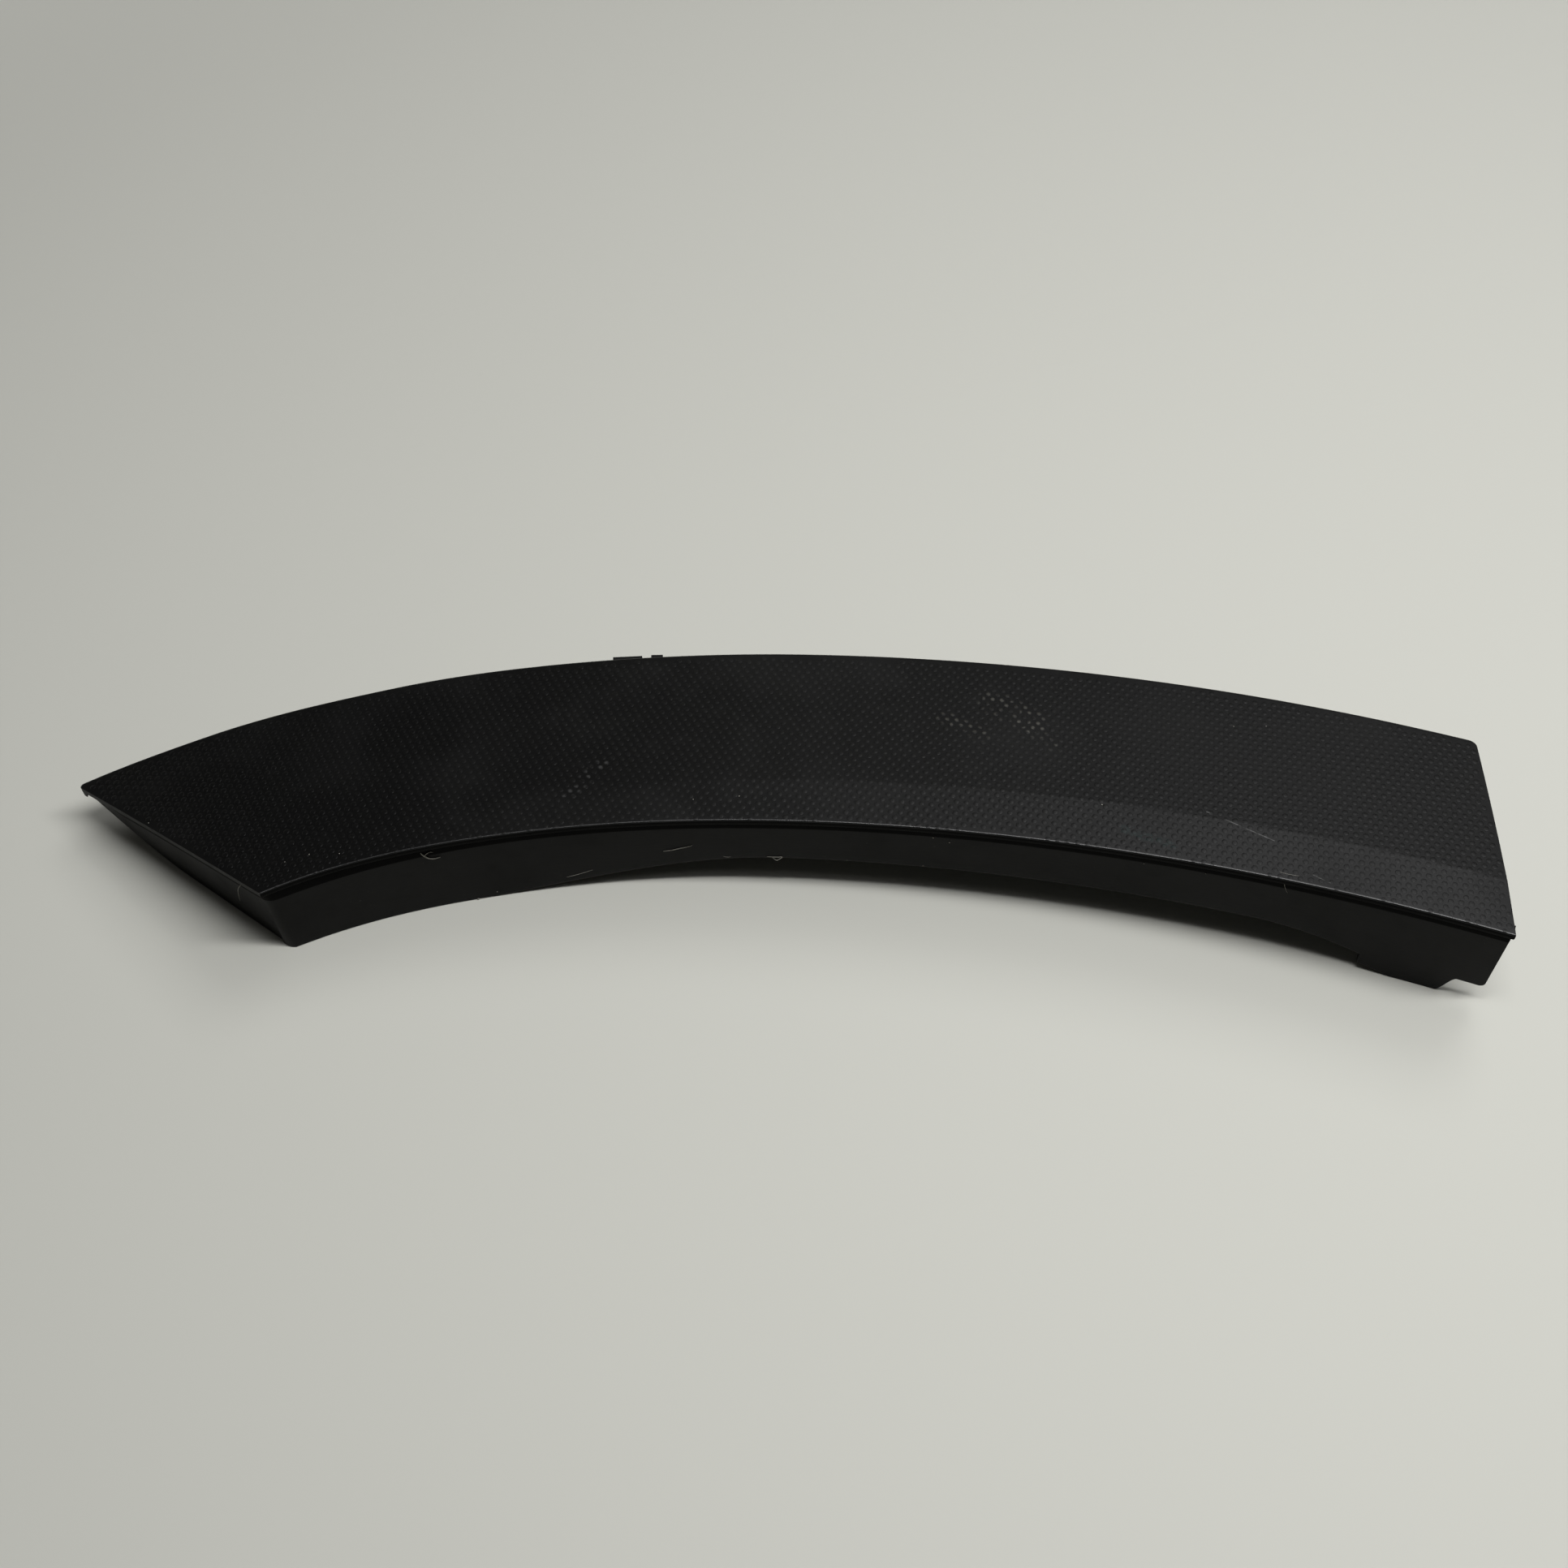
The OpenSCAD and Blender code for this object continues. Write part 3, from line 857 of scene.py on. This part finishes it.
@dataclass
class Underside:
    """What the hidden side carries: ribs, clip towers and lugs."""

    face: Face
    rib_count: int = 6
    rib_thickness: float = 1.6 * MM
    rib_height: float = 6 * MM
    gusset_height: float = 19 * MM
    gusset_reach: float = 22 * MM
    tower_count: int = 4
    tower_length: float = 24 * MM
    tower_depth: float = 18 * MM
    tower_inset: float = 7 * MM
    tower_wall: float = 1.8 * MM
    seat_thickness: float = 2.4 * MM
    clip_bore: float = 7 * MM
    bore_sides: int = 64
    tower_front: float = 22 * MM
    tower_rear: float = 52 * MM
    lug_reach: float = 1.8 * MM
    lug_thickness: float = 1.6 * MM
    lugs: tuple[Pair, ...] = ((113 * MM, 10 * MM), (124.8 * MM, 4 * MM))
    seat: float = 0.6 * MM
    root: float = 3.2 * MM
    sharp: float = 30.0

    def _plate(self, s: float, thick: float, outline: Sequence[Pair]) -> Work:
        """A plate square to the arch line, from points of distance across the face and height."""
        turn = float(self.face.line.heading(s))
        base = self.face.line.plan(s, 0.0)
        along, across = way(turn), way(turn + pi / 2)
        work = bmesh.new()
        sides = []
        for shift in (-thick / 2, thick / 2):
            sides.append([work.verts.new((*(base + along * shift + across * w), z)) for w, z in outline])
        near, far = sides
        work.faces.new(near)
        work.faces.new(far[::-1])
        for k in range(len(outline)):
            work.faces.new([near[k], near[k - 1], far[k - 1], far[k]])
        bmesh.ops.recalc_face_normals(work, faces=work.faces)
        return work

    def rib(self, s: float) -> Work:
        """A rib with a deep gusset at the flange."""
        face, root, wide = self.face, self.root, self.root + self.gusset_reach
        last = float(face.far(s)) - face.rim_wall + self.seat
        seat = face.wall - self.seat
        corners_down = [
            (root, seat), (float(face.band(s)), seat), (last, seat), (last, face.rim_height),
            (wide, self.rib_height), (root, self.gusset_height),
        ]
        outline = [(w, float(face.height(s, w)) - down) for w, down in corners_down]
        return self._plate(s, self.rib_thickness, outline)

    def lug(self, start: float, width: float) -> Work:
        """A locating lug on the outside of the rim."""
        face, s = self.face, start + width / 2
        f = float(face.far(s))
        top = float(face.height(s, f)) - face.edge_radius - self.lug_thickness / 2
        inner, outer, low = f - face.rim_wall / 2, f + self.lug_reach, top - self.lug_thickness
        return self._plate(s, width, oblong(inner, outer, low, top))

    def tower(self, s: float) -> Piece:
        """A clip tower: a block, less its inside and its round hole."""
        face, wall, length = self.face, self.tower_wall, self.tower_length
        back = float(face.far(s)) - self.tower_inset
        front = back - self.tower_depth
        near, far = [float(face.height(s, w)) - face.wall + self.seat for w in (front, back)]
        block = settle("tower", self._plate(s, length, [(front, 0), (back, 0), (back, far), (front, near)]))
        inside = oblong(front + wall, back - wall, self.seat_thickness, far - face.wall / 2)
        room = self._plate(s, length, inside)
        shift = Vector((*way(float(face.line.heading(s))), 0)) * -wall
        bmesh.ops.translate(room, verts=room.verts, vec=shift)
        centre = Matrix.Translation((*face.line.plan(s, (front + back) / 2), 0))
        hole, sizes = bmesh.new(), dict.fromkeys(("radius1", "radius2"), self.clip_bore / 2)
        sizes["depth"] = 4 * self.seat_thickness
        bmesh.ops.create_cone(hole, cap_ends=True, segments=self.bore_sides, matrix=centre, **sizes)
        for cutter in (settle("room", room), settle("hole", hole)):
            cut = block.modifiers.new("cut", "BOOLEAN")
            cut.operation, cut.object, cut.solver = "DIFFERENCE", cutter, "EXACT"
            plain = baked(block)
            block.modifiers.clear()
            block.data = plain
            bpy.data.objects.remove(cutter)
        return block

    def make(self, material: Material) -> list[Piece]:
        """Makes the ribs, the towers and the lugs, one object each."""
        span = self.face.line.length - self.tower_front - self.tower_rear
        gap, pitch = span / self.rib_count, span / (self.tower_count - 1)
        ribs = [settle("rib", self.rib(self.tower_front + gap * (i + 0.5))) for i in range(self.rib_count)]
        towers = [self.tower(self.tower_front + pitch * i) for i in range(self.tower_count)]
        lugs = [settle("lug", self.lug(*lug)) for lug in self.lugs]
        made = [join(ribs, "cross_ribs"), join(towers, "clip_towers"), join(lugs, "locating_lugs")]
        for piece in made:
            piece.data.materials.append(material)
            smooth(piece.data, self.sharp)
        return made


def oblong(left: float, right: float, low: float, high: float) -> list[Pair]:
    """The corners of an upright oblong."""
    return [(left, low), (right, low), (right, high), (left, high)]


def join(parts: Sequence[Piece], name: str) -> Piece:
    """Joins objects that all sit at the origin into one.

    Args:
        parts: The objects, which are removed.
        name: Name of the new object.

    Returns:
        The joined object.
    """
    work = bmesh.new()
    for part in parts:
        work.from_mesh(part.data)
        bpy.data.objects.remove(part)
    return settle(name, work)


@dataclass
class Pips:
    """The face's grain: low soft pips in one straight staggered grid, laid on the face."""

    face: Face
    pitch_along: float = 3.15 * MM
    pitch_across: float = 4.33 * MM
    turn: float = radians(-8.3)
    radius: float = 1.1 * MM
    height: float = 0.065 * MM
    sides: int = 7
    margin_arch: float = 0.7 * MM
    margin_far: float = 2.2 * MM
    margin_end: float = 1.3 * MM
    rings: tuple[Pair, ...] = ((1.0, -0.3), (0.76, 0.26), (0.4, 0.78))
    counts: tuple[int, int] = (180, 80)
    drop_height: float = 0.1
    ray_length: float = 0.2
    least: float = 0.92
    most: float = 1.06
    rows: int = 200
    band_steps: int = 5
    face_steps: int = 14
    seed: int = 7

    def sheet(self, name: str, across: Callable[[float], tuple[Array, Array]], end: float) -> Piece:
        """An open sheet on the face.

        Args:
            name: The sheet's name.
            across: Gives the distances from the arch edge and the depths of a section at a place.
            end: Margin at both ends.

        Returns:
            The sheet, facing up.
        """
        stretch = self.face.line.length - 2 * end
        rows = [self.face.at(s, *across(s)) for s in end + stretch * np.arange(self.rows + 1) / self.rows]
        points = np.array(rows)
        n, m, _ = points.shape
        starts = [i * m + j for i in range(n - 1) for j in range(m - 1)]
        mesh = bpy.data.meshes.new(name)
        mesh.from_pydata(points.reshape(-1, 3).tolist(), [], [[k, k + m, k + m + 1, k + 1] for k in starts])
        return link(bpy.data.objects.new(name, mesh))

    def field(self, s: float) -> tuple[Array, Array]:
        """Where pips may stand along a section."""
        b, f = float(self.face.band(s)), self.face.section_width(s)
        near = np.linspace(self.margin_arch - self.face.lip_out(s), b, self.band_steps)
        w = np.concatenate([near, np.linspace(b, f - self.margin_far, self.face_steps)[1:]])
        return w, np.zeros(len(w))

    def skin(self, s: float) -> tuple[Array, Array]:
        """The face along a section, with the rounding and the side of the lip."""
        b, f, r = float(self.face.band(s)), self.face.section_width(s), self.face.edge_radius
        out, side = self.face.lip_out(s), curl(r, quarter(self.face.round_points))
        flat = [*np.linspace(r - out, b, self.band_steps)[1:], *np.linspace(b, f, self.face_steps)[1:]]
        w = np.concatenate([[-out], side[:, 0] - out, flat])
        return w, np.concatenate([[2 * r], side[:, 1], np.zeros(len(flat))])

    def blank(self) -> Piece:
        """One pip, closed, laid flat: each point's height is kept in its attribute "rise"."""
        work = bmesh.new()
        rise = work.verts.layers.float.new(RISE)
        turns = [2 * pi * k / self.sides for k in range(self.sides)]
        rings = []
        for share, high in self.rings:
            reach = share * self.radius
            rings.append([work.verts.new((cos(a) * reach, sin(a) * reach, 0)) for a in turns])
            for point in rings[-1]:
                point[rise] = high * self.height
        top = work.verts.new((0, 0, 0))
        top[rise] = self.height
        for k in range(self.sides):
            m = (k + 1) % self.sides
            for low, high in zip(rings, rings[1:]):
                work.faces.new([low[k], low[m], high[m], high[k]])
            work.faces.new([rings[-1][k], rings[-1][m], top])
        work.faces.new(rings[0][::-1])
        made = settle("pip_blank", work)
        made.data.polygons.foreach_set("use_smooth", [True] * len(made.data.polygons))
        return made

    def tree(self) -> tuple[bpy.types.NodeTree, dict[str, str]]:
        """The node tree that drops the grid on the sheet and shapes a pip to the skin at each point.

        Returns:
            The tree, and each input's identifier by its name.
        """
        tree = bpy.data.node_groups.new("lay_pips", "GeometryNodeTree")
        kinds = {"Geometry": "Geometry", "Pip": "Object", "Skin": "Object", "Finish": "Material"}
        kinds |= dict.fromkeys(("Pitch along", "Pitch across", "Turn", "Drop height"), "Float")
        kinds |= dict.fromkeys(("Count along", "Count across", "Seed"), "Int")
        names = {}
        for name, kind in kinds.items():
            socket = tree.interface.new_socket(name, in_out="INPUT", socket_type=f"NodeSocket{kind}")
            names[name] = socket.identifier
        tree.interface.new_socket("Geometry", in_out="OUTPUT", socket_type="NodeSocketGeometry")
        sheet = Sheet(tree)

        def geo(kind: str, inputs: dict | None = None, **settings: str) -> bpy.types.bpy_prop_collection:
            """Adds a Geometry node and gives its outputs."""
            return sheet.add(f"GeometryNode{kind}", settings, inputs).outputs

        def vector(x: Wire | float, y: Wire | float, z: Wire | float) -> Wire:
            """Joins three numbers to a vector."""
            return sheet.wire("ShaderNodeCombineXYZ", None, {0: x, 1: y, 2: z})

        group = sheet.add("NodeGroupInput").outputs
        given = {name: Wire(sheet, group[name]) for name in kinds}
        pitch = given["Pitch along"], given["Pitch across"]
        count = given["Count along"], given["Count across"]
        both = sheet.add("GeometryNodeJoinGeometry")
        for shift in (0.0, 0.5):
            wide, deep = [step * (number - 1.0) for step, number in zip(pitch, count)]
            grid = geo("MeshGrid", {0: wide, 1: deep, 2: count[0], 3: count[1]})["Mesh"]
            offset = vector(pitch[0] * shift, pitch[1] * shift, 0.0)
            tree.links.new(geo("Transform", {"Geometry": grid, "Translation": offset})[0], both.inputs[0])
        turned, lifted = vector(0.0, 0.0, given["Turn"]), vector(0.0, 0.0, given["Drop height"])
        laid = geo("Transform", {"Geometry": both.outputs[0], "Rotation": turned, "Translation": lifted})[0]
        fall = {"Ray Direction": (0.0, 0.0, -1.0), "Ray Length": self.ray_length}
        ray = geo("Raycast", {"Target Geometry": given["Geometry"], **fall}, data_type="FLOAT")
        missed = sheet.wire("FunctionNodeBooleanMath", {"operation": "NOT"}, {0: ray["Is Hit"]})
        kept = geo("DeleteGeometry", {"Geometry": laid, "Selection": missed}, domain="POINT")[0]
        placed = geo("SetPosition", {"Geometry": kept, "Position": ray["Hit Position"]})[0]
        span = {"Min": self.least, "Max": self.most, "Seed": given["Seed"]}
        size = sheet.add("FunctionNodeRandomValue", {"data_type": "FLOAT"}, span).outputs["Value"]
        pip = geo("ObjectInfo", {"Object": given["Pip"]})["Geometry"]
        sown = geo("InstanceOnPoints", {"Points": placed, "Instance": pip, "Scale": size})[0]
        real = geo("RealizeInstances", {"Geometry": sown})[0]
        skin = geo("ObjectInfo", {"Object": given["Skin"]})["Geometry"]
        nearest = geo("Proximity", {0: skin}, target_element="FACES")["Position"]
        facing = {"Mesh": skin, "Value": geo("InputNormal")[0]}
        up = geo("SampleNearestSurface", facing, data_type="FLOAT_VECTOR")["Value"]
        rise = geo("InputNamedAttribute", {"Name": RISE}, data_type="FLOAT")["Attribute"]
        offset = sheet.wire("ShaderNodeVectorMath", {"operation": "SCALE"}, {0: up, "Scale": rise})
        shaped = geo("SetPosition", {"Geometry": real, "Position": nearest, "Offset": offset})[0]
        dressed = geo("SetMaterial", {"Geometry": shaped, "Material": given["Finish"]})[0]
        sheet.add("NodeGroupOutput", None, {"Geometry": dressed})
        return tree, names

    def make(self, material: Material) -> Piece:
        """Lays the pips and returns them as one plain mesh."""
        piece = self.sheet("face_pips", self.field, self.margin_end)
        skin, blank = self.sheet("skin", self.skin, 0.0), self.blank()
        tree, names = self.tree()
        laid = piece.modifiers.new("lay_pips", "NODES")
        laid.node_group = tree
        values = {
            "Pip": blank, "Skin": skin, "Finish": material, "Turn": self.turn, "Seed": self.seed,
            "Pitch along": self.pitch_along, "Pitch across": self.pitch_across,
            "Count along": self.counts[0], "Count across": self.counts[1], "Drop height": self.drop_height,
        }
        for name, value in values.items():
            laid[names[name]] = value
        piece.update_tag()
        plain = baked(piece)
        piece.modifiers.clear()
        piece.data = plain
        for used in (blank, skin):
            bpy.data.objects.remove(used)
        return piece


@dataclass(frozen=True)
class Fibre:
    """A hair or curl of fluff, in millimetres: each point is a place along the arch edge and one across."""

    side: str
    path: tuple[Pair, ...]
    thickness: float = 0.3


@dataclass
class Litter:
    """The fluff and crumbs on the trim; a crumb is its place, as in a path, and its size in millimetres."""

    face: Face
    walls: Walls
    fibres: tuple[Fibre, ...] = (
        Fibre("flange", ((51.2, 33.6), (51.8, 31.6), (53.2, 29.6), (55.2, 28.6), (57.0, 29.2)), 0.45),
        Fibre("flange", ((51.9, 31.0), (52.6, 32.2), (54.2, 33.2), (55.0, 32.6)), 0.35),
        Fibre("flange", ((128.6, 19.6), (131.2, 20.0), (133.6, 21.0), (136.4, 21.8), (138.2, 22.8)), 0.34),
        Fibre(
            "flange",
            ((162.6, 16.4), (165.2, 16.1), (168.0, 16.7), (166.6, 15.0), (165.6, 14.0), (164.6, 15.8)),
            0.34,
        ),
        Fibre("flange", ((148.2, 16.0), (149.4, 15.4), (150.6, 15.9)), 0.22),
        Fibre("flange", ((95.6, 7.0), (98.0, 7.6), (101.4, 8.8), (104.6, 10.2)), 0.14),
        Fibre("end", ((11.8, 30.6), (14.6, 26.0), (17.4, 19.4), (18.9, 11.7)), 0.2),
        Fibre("flange", ((327.0, 40.0), (327.6, 36.6), (329.2, 34.0)), 0.16),
        Fibre("face", ((324.6, 1.4), (326.8, 0.8), (330.6, 1.3)), 0.16),
    )
    crumbs: tuple[tuple[str, tuple[Point, ...]], ...] = (
        ("face", (
            (-24.7, 48.0, 0.35), (10.3, 8.8, 0.35), (17.9, 8.4, 0.45), (26.8, 4.9, 0.35),
            (153.9, 8.3, 0.45), (139.3, 7.2, 0.35), (314.9, 60.3, 0.4), (305.2, 57.7, 0.35),
            (268.0, 15.5, 0.45),
        )),
        ("flange", (
            (8.1, 36.6, 0.8), (65.3, 0.5, 1.1), (72.0, 3.0, 0.5), (216.4, 33.6, 0.6), (221.8, 31.8, 0.7),
            (283.7, 34.7, 0.5), (303.2, 35.4, 0.5), (214.0, 16.4, 0.5), (189.0, 16.2, 0.4),
        )),
    )
    crumb_least: float = 0.65
    crumb_most: float = 1.15
    crumb_lift: float = 0.15
    crumb_flattening: float = 0.5
    fibre_lift: float = 0.4
    fibre_end: float = 0.5
    seed: int = 11

    def spot(self, side: str, a: float, b: float) -> tuple[Vector, Vector]:
        """A point on a side and the way out from it.

        Args:
            side: "face", "flange" or "end".
            a: Place along the arch edge, or along the end wall from the front corner, in millimetres.
            b: Distance across the face, or height over the floor, in millimetres.

        Returns:
            The point and the outward direction.
        """
        a, b = a * MM, b * MM
        if side == "face":
            return Vector((*self.face.line.plan(a, b), float(self.face.height(a, b)))), Vector((0, 0, 1))
        place = self.walls.flange_place if side == "flange" else self.walls.end_place
        point, turn, top, _, draft = place(a)
        inward = way(turn)
        return Vector((*(point - draft * (top - b) * inward), b)), Vector((*-inward, 0))

    def fibre(self, laid: Fibre) -> Piece:
        """A thin tube on the surface, tapering to its ends."""
        curve = bpy.data.curves.new("fibre", "CURVE")
        curve.dimensions, curve.bevel_depth, curve.bevel_resolution = "3D", laid.thickness / 2 * MM, 1
        curve.resolution_u, curve.use_fill_caps = 5, True
        line = curve.splines.new("NURBS")
        line.points.add(len(laid.path) - 1)
        line.order_u, line.use_endpoint_u = 3, True
        for k, (point, (a, b)) in enumerate(zip(line.points, laid.path)):
            spot, out = self.spot(laid.side, a, b)
            point.co = (*(spot + out * laid.thickness * self.fibre_lift * MM), 1.0)
            point.radius = self.fibre_end if k in (0, len(laid.path) - 1) else 1.0
        made = link(bpy.data.objects.new("fibre", curve))
        plain = baked(made)
        bpy.data.objects.remove(made)
        return link(bpy.data.objects.new("fibre", plain))

    def crumb(self, side: str, spec: Point, draw: np.random.Generator) -> Piece:
        """A small broken lump on the surface."""
        a, b, size = spec
        spot, out = self.spot(side, a, b)
        work = bmesh.new()
        bmesh.ops.create_icosphere(work, subdivisions=1, radius=size / 2 * MM)
        for point in work.verts:
            point.co *= draw.uniform(self.crumb_least, self.crumb_most)
            point.co -= point.co.dot(out) * out * self.crumb_flattening
            point.co += spot + out * size * self.crumb_lift * MM
        return settle("crumb", work)

    def make(self) -> Piece:
        """Makes all of it, as one object."""
        draw = np.random.default_rng(self.seed)
        parts = [self.fibre(laid) for laid in self.fibres]
        parts += [self.crumb(side, spec, draw) for side, specs in self.crumbs for spec in specs]
        made = join(parts, "fluff_and_crumbs")
        made.data.materials.append(Speck("fluff", (0.32, 0.31, 0.28), (0.2, 0.19, 0.16)).material())
        return made


# The studio


@dataclass(frozen=True)
class Camera:
    """The photograph's camera, from its lens and the direction that is straight down in its view."""

    place: Point = (10.324 * MM, -361.49 * MM, 603.5 * MM)
    focal_pixels: float = 2550.0
    image_pixels: float = 1932.0
    sensor: float = 36.0
    down: Point = (34.0, 1634.0, 2550.0)

    def make(self) -> None:
        """Makes the camera and hands it to the scene."""
        made = bpy.data.cameras.new("camera")
        made.sensor_width = self.sensor
        made.lens = self.sensor * self.focal_pixels / self.image_pixels
        made.clip_start, made.clip_end = 0.01, 100.0
        seen = link(bpy.data.objects.new("camera", made))
        up = -Vector((self.down[0], -self.down[1], -self.down[2])).normalized()
        right = (Vector((1, 0, 0)) - up * up.x).normalized()
        ahead = up.cross(right)
        turn = Matrix((right, ahead, up)).to_4x4()
        seen.matrix_world = Matrix.Translation(self.place) @ turn
        bpy.context.scene.camera = seen


@dataclass(frozen=True)
class Lamp:
    """A soft oblong lamp, aimed at a point."""

    name: str
    place: Point
    size: Pair
    power: float
    aim: Point = (0.0, 0.0, 0.0)

    def make(self) -> None:
        """Makes the lamp."""
        made = bpy.data.lights.new(self.name, "AREA")
        made.shape = "RECTANGLE"
        made.size, made.size_y = self.size
        made.energy = self.power
        lamp = link(bpy.data.objects.new(self.name, made))
        lamp.location = self.place
        lamp.rotation_mode = "QUATERNION"
        lamp.rotation_quaternion = (Vector(self.aim) - Vector(self.place)).to_track_quat("-Z", "Y")


@dataclass(frozen=True)
class Studio:
    """A plain pale floor with a low cove, which stays pale far off, and soft lamps nearly overhead."""

    floor_colour: Colour = (0.56, 0.56, 0.515)
    far_colour: Colour = (0.55, 0.55, 0.51)
    far_reach: Pair = (0.45, 0.95)
    world_level: float = 0.055
    cove_radius: float = 3.2
    cove_height: float = 0.9
    floor_steps: int = 96
    floor_sharp: float = 40.0
    floor_roughness: float = 0.7
    floor_specular: float = 0.2
    lamps: tuple[Lamp, ...] = (
        Lamp("key", (0.4, -0.1, 1.15), (1.0, 0.13), 12.5, (0.4, 0.0, 0.0)),
        Lamp("overhead", (0.8, 0.1, 2.1), (1.6, 1.6), 8.2),
        Lamp("back_panel", (0.7, 1.05, 1.75), (0.9, 0.9), 9.3),
    )

    def floor(self) -> Piece:
        """A round floor whose rim curves up."""
        work = bmesh.new()
        radius, height = self.cove_radius, self.cove_height
        profile = [(0.0, 0.0), (radius, 0.0)]
        curve = np.radians(np.linspace(10, 90, 9))
        profile += [(radius + height * sin(a), height * (1 - cos(a))) for a in curve]
        verts = [work.verts.new((x, 0, z)) for x, z in profile]
        edges = [work.edges.new(pair) for pair in zip(verts, verts[1:])]
        bmesh.ops.spin(
            work, geom=verts + edges, axis=(0, 0, 1), cent=(0, 0, 0), angle=2 * pi, steps=self.floor_steps
        )
        bmesh.ops.remove_doubles(work, verts=work.verts, dist=1e-5)
        bmesh.ops.recalc_face_normals(work, faces=work.faces)
        bmesh.ops.reverse_faces(work, faces=[f for f in work.faces if f.normal.z < -0.1])
        made = settle("floor", work)
        smooth(made.data, self.floor_sharp)
        finish, sheet = new_material("floor")
        values = {"Base Color": (*self.floor_colour, 1.0), "Roughness": self.floor_roughness}
        values["Specular IOR Level"] = self.floor_specular
        shader = sheet.add("ShaderNodeBsdfPrincipled", None, values)
        ray = sheet.add("ShaderNodeLightPath").outputs
        kinds = ("Camera", "Glossy", "Transmission")
        camera, glossy, through = [Wire(sheet, ray[f"Is {kind} Ray"]) for kind in kinds]
        reach = sheet.vector("LENGTH", sheet.place(), (0.0, 0.0, 0.0), "Value").soft_step(*self.far_reach)
        glow = sheet.add("ShaderNodeEmission", None, {"Color": (*self.far_colour, 1.0), "Strength": 1.0})
        share = camera.most(glossy).most(through) * reach
        values = {0: share, 1: shader.outputs[0], 2: glow.outputs[0]}
        sheet.close(sheet.add("ShaderNodeMixShader", None, values))
        made.data.materials.append(finish)
        return made

    def make(self) -> None:
        """Makes the floor, the world and the lamps."""
        self.floor()
        world = bpy.data.worlds.new("room")
        world.use_nodes = True
        world.node_tree.nodes.clear()
        sheet = Sheet(world.node_tree)
        seen = sheet.wire("ShaderNodeLightPath", None, None, "Is Camera Ray")
        strength = seen * (1 - self.world_level) + self.world_level
        values = {"Color": (*self.far_colour, 1.0), "Strength": strength}
        sheet.close(sheet.add("ShaderNodeBackground", None, values), "World")
        scene = bpy.context.scene
        scene.world = world
        for lamp in self.lamps:
            lamp.make()
        scene.view_settings.view_transform = "Standard"


def hand_over(piece: Piece) -> Piece:
    """Lets a piece ride on the part and logs its face count."""
    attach(piece, BODY)
    LOG.info("%s: %d faces", piece.name, len(piece.data.polygons))
    return piece


def main() -> None:
    """Builds the trim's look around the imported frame."""
    logging.basicConfig(level=logging.INFO, format="%(name)s: %(message)s")
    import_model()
    Camera().make()
    Studio().make()
    grained = BlackPlastic("grained_face", film=FACE_FILM, marks=FACE_MARKS).material()
    plain = BlackPlastic("plain_flange", streaks=0.02 * MM, roughness=0.5, specular=0.078).material()
    edge = BlackPlastic("polished_edge", roughness=0.33, specular=0.4).material()
    # Dark, barely reflecting finish: painted shade under the lip's overhang
    lip = BlackPlastic("polished_lip", haze_colour=PAINTED_SHADE_HAZE, specular=0.009, dust=0.2).material()
    hidden = BlackPlastic("hidden_side", roughness=0.5, dust=0.2).material()
    face = Face(ArchLine())
    shell = Shell("moulded_shell")
    face.sweep_into(shell)
    walls = Walls(face)
    walls.sweep_into(shell)
    outer = shell.make([grained, plain, edge, lip])
    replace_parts(hand_over(outer), NODE)
    for piece in Underside(face).make(hidden):
        hand_over(piece)
    pips = Pips(face)
    # Its paler pip tops are partly wear and dust, partly painted highlight
    tops = BlackPlastic("pip_tops", film=FACE_FILM, top_height=pips.height, marks=FACE_MARKS).material()
    hand_over(pips.make(tops))
    hand_over(Litter(face, walls).make())


if __name__ == "__main__":
    main()
